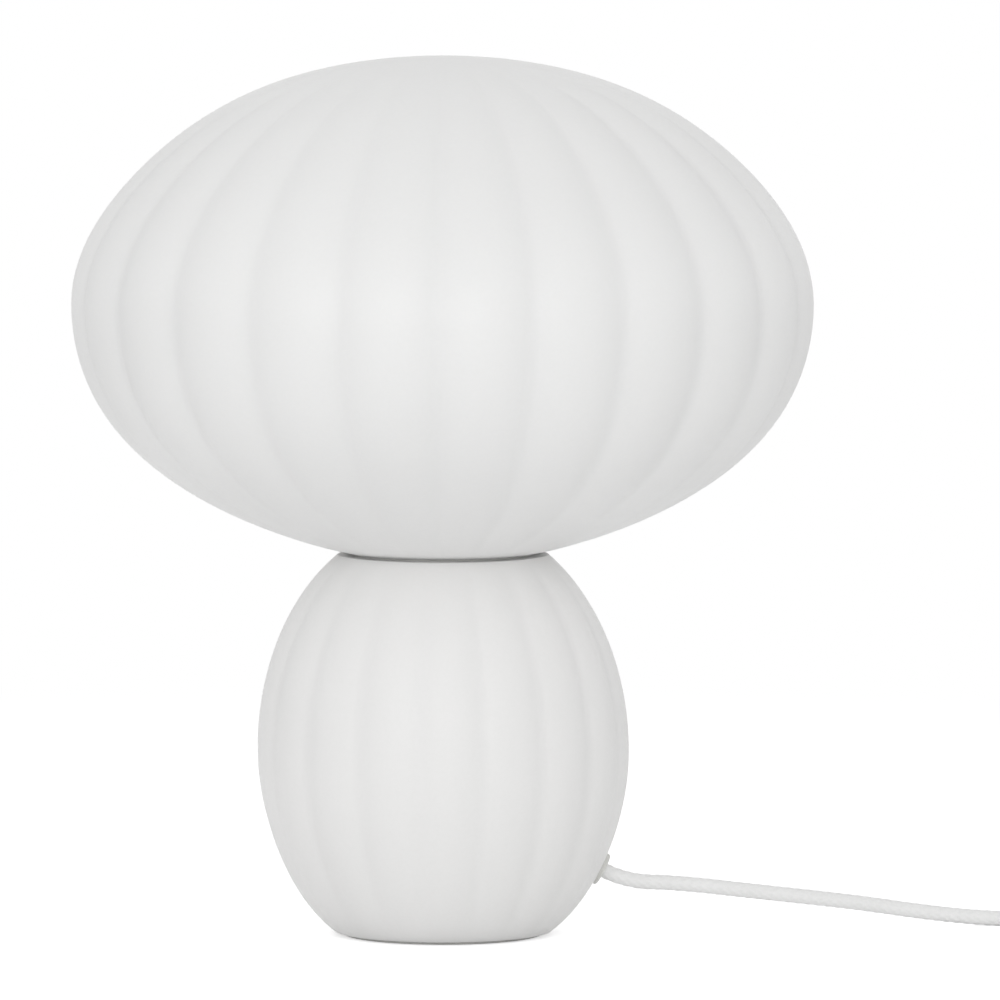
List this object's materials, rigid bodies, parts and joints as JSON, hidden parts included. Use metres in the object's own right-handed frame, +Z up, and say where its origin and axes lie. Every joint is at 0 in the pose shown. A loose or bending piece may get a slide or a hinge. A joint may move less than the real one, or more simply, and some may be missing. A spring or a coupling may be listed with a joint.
{
  "type": "mushroom table lamp",
  "caption": "Mushroom table lamp: ribbed opal glass base, lift-off oval ribbed glass shade, screw-in bulb, textile cord with rocker switch and plug.",
  "frame": {"origin": "middle of the foot, on the surface the lamp stands on", "axes": "+Z up along the lamp's axis, -Y towards the viewer in the picture, +X towards the side the cord leaves"},
  "size_m": [0.4523, 0.2291, 0.272],
  "materials": {
    "opal_glass_base": "satin opal glass",
    "opal_glass_shade": "satin opal glass",
    "silicone": "clear silicone",
    "felt": "wool felt",
    "zinc_steel": "zinc plated",
    "white_paint": "white powder coat",
    "bush_plastic": "moulded",
    "white_plastic": "moulded",
    "textile_cord": "braided textile over two insulated wires",
    "brown_insulation": "wire insulation",
    "blue_insulation": "wire insulation",
    "holder_plastic": "moulded",
    "holder_ceramic": "unglazed",
    "brass": "plain",
    "solder": "dull",
    "black_insulator": "black glass",
    "nickel_cap": "nickel plated",
    "bulb_plastic": "moulded",
    "bulb_opal": "opal",
    "switch_plastic": "moulded",
    "rocker_plastic": "moulded",
    "plug_plastic": "moulded",
    "nickel_pins": "nickel plated"
  },
  "bodies": {
    "lamp": {"base_body": "opal_glass_base", "shade_ring": "silicone", "felt_pad": "felt", "plate_ring": "silicone", "bottom_plate": "zinc_steel", "gallery_ring": "silicone", "gallery": "white_paint", "draw_tube": "zinc_steel", "bottom_washer": "zinc_steel", "bottom_nut": "zinc_steel", "top_washer": "zinc_steel", "top_nut": "zinc_steel", "cord_bush": "bush_plastic", "cord_stop": "white_plastic", "cord_stop_screw": "zinc_steel", "inner_cord": "textile_cord", "live_wire": "brown_insulation", "neutral_wire": "blue_insulation", "holder_cap": "holder_plastic", "holder_grub_screw": "zinc_steel", "holder_sleeve": "holder_plastic", "holder_core": "holder_ceramic", "terminal_screws": "brass", "screw_shell": "brass", "centre_contact": "brass", "switch_lower": "switch_plastic", "switch_upper": "switch_plastic", "switch_screws": "zinc_steel", "rocker_pin": "zinc_steel", "switch_terminals": "brass", "cord_coil": "textile_cord", "plug_body": "plug_plastic", "plug_boot": "plug_plastic", "plug_pins": "nickel_pins", "cord_to_switch": "textile_cord", "cord_to_coil": "textile_cord", "cord_to_plug": "textile_cord"},
    "shade": {"shade": "opal_glass_shade"},
    "bulb": {"bulb_tip": "solder", "bulb_insulator": "black_insulator", "bulb_cap": "nickel_cap", "bulb_collar": "bulb_plastic", "bulb_globe": "bulb_opal"},
    "rocker": {"switch_rocker": "rocker_plastic"}
  },
  "joints": [
    {"name": "shade_lift", "type": "slide", "parent": "lamp", "child": "shade", "axis": [0, 0, 1], "range_m": [0, 0.12]},
    {"name": "bulb_unscrew", "type": "hinge", "parent": "lamp", "child": "bulb", "pos_m": [0, 0, 0.17], "axis": [0, 0, 1], "range_deg": [0, 1080]},
    {"name": "switch_rock", "type": "hinge", "parent": "lamp", "child": "rocker", "pos_m": [0.26, -0.001, 0.011], "axis": [1, 0, 0], "range_deg": [-18, 0]}
  ]
}
